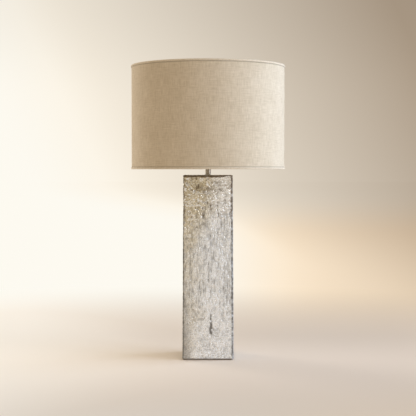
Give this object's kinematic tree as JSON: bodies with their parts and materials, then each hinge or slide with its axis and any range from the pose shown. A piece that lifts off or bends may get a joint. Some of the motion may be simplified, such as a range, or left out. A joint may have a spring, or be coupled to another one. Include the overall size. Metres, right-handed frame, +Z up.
{
  "type": "table lamp",
  "caption": "Square silvered glass column lamp with a short nickel neck, a turn switch socket and a linen drum shade held by a harp and finial.",
  "frame": {"origin": "centre of the base on the floor, under the column's axis", "axes": "+Z up along the column, -Y towards the front with the switch, +Y towards the back with the cord gland, +X to the right of the front view"},
  "size_m": [0.403, 0.403, 0.7707],
  "materials": {
    "silvered_glass": "silvered, crinkled, glossy",
    "black_steel": "satin",
    "felt": "matte",
    "black_rubber": "matte",
    "clear_rubber": "satin",
    "zinc_steel": "satin",
    "nickel": "polished",
    "fibre_board": "matte",
    "phenolic": "satin",
    "brass": "satin",
    "opal_glass": "frosted",
    "bulb_aluminium": "satin",
    "bulb_tip": "glossy",
    "linen": "matte weave",
    "linen_trim": "matte weave",
    "shade_backing": "matte",
    "frame_wire": "satin"
  },
  "bodies": {
    "lamp": {"glass_column": "silvered_glass", "base_pan": "black_steel", "felt_pad": "felt", "cord_gland": "black_rubber", "threaded_pipe": "zinc_steel", "bottom_washer": "zinc_steel", "bottom_nut": "zinc_steel", "top_bush": "clear_rubber", "neck_tube": "nickel", "harp_saddle": "nickel", "lock_nut": "zinc_steel", "socket_cap": "nickel", "cap_set_screw": "zinc_steel", "socket_shell": "nickel", "socket_sleeve": "fibre_board", "socket_body": "phenolic", "screw_shell": "brass", "centre_contact": "brass", "hot_terminal_screw": "brass", "neutral_terminal_screw": "zinc_steel"},
    "switch": {"switch_shaft": "brass", "switch_knob": "phenolic"},
    "bulb": {"bulb_globe": "opal_glass", "bulb_base": "bulb_aluminium", "bulb_contact": "bulb_tip"},
    "harp": {"harp_bail": "nickel", "harp_stud": "nickel", "harp_foot_left": "nickel", "harp_foot_right": "nickel"},
    "sleeve_left": {"harp_sleeve_left": "nickel"},
    "sleeve_right": {"harp_sleeve_right": "nickel"},
    "shade": {"shade_linen": "linen", "shade_backing": "shade_backing", "trim_top": "linen_trim", "trim_bottom": "linen_trim", "top_ring": "frame_wire", "bottom_ring": "frame_wire", "spider_hub": "frame_wire", "spider_arm_1": "frame_wire", "spider_arm_2": "frame_wire", "spider_arm_3": "frame_wire"},
    "finial": {"finial": "nickel"}
  },
  "joints": [
    {"name": "switch_turn", "type": "hinge", "parent": "lamp", "child": "switch", "pos_m": [0, -0.026, 0.534], "axis": [0, -1, 0], "continuous": true},
    {"name": "bulb_screw", "type": "hinge", "parent": "lamp", "child": "bulb", "pos_m": [0, 0, 0.55], "axis": [0, 0, 1], "continuous": true},
    {"name": "harp_lift", "type": "slide", "parent": "lamp", "child": "harp", "axis": [0, 0, 1], "range_m": [0, 0.025]},
    {"name": "sleeve_left_lift", "type": "slide", "parent": "harp", "child": "sleeve_left", "axis": [0, 0, 1], "range_m": [0, 0.012]},
    {"name": "sleeve_right_lift", "type": "slide", "parent": "harp", "child": "sleeve_right", "axis": [0, 0, 1], "range_m": [0, 0.012]},
    {"name": "shade_swivel", "type": "hinge", "parent": "harp", "child": "shade", "pos_m": [0, 0, 0.745], "axis": [0, 0, 1], "continuous": true},
    {"name": "finial_turn", "type": "hinge", "parent": "harp", "child": "finial", "pos_m": [0, 0, 0.755], "axis": [0, 0, 1], "continuous": true}
  ]
}
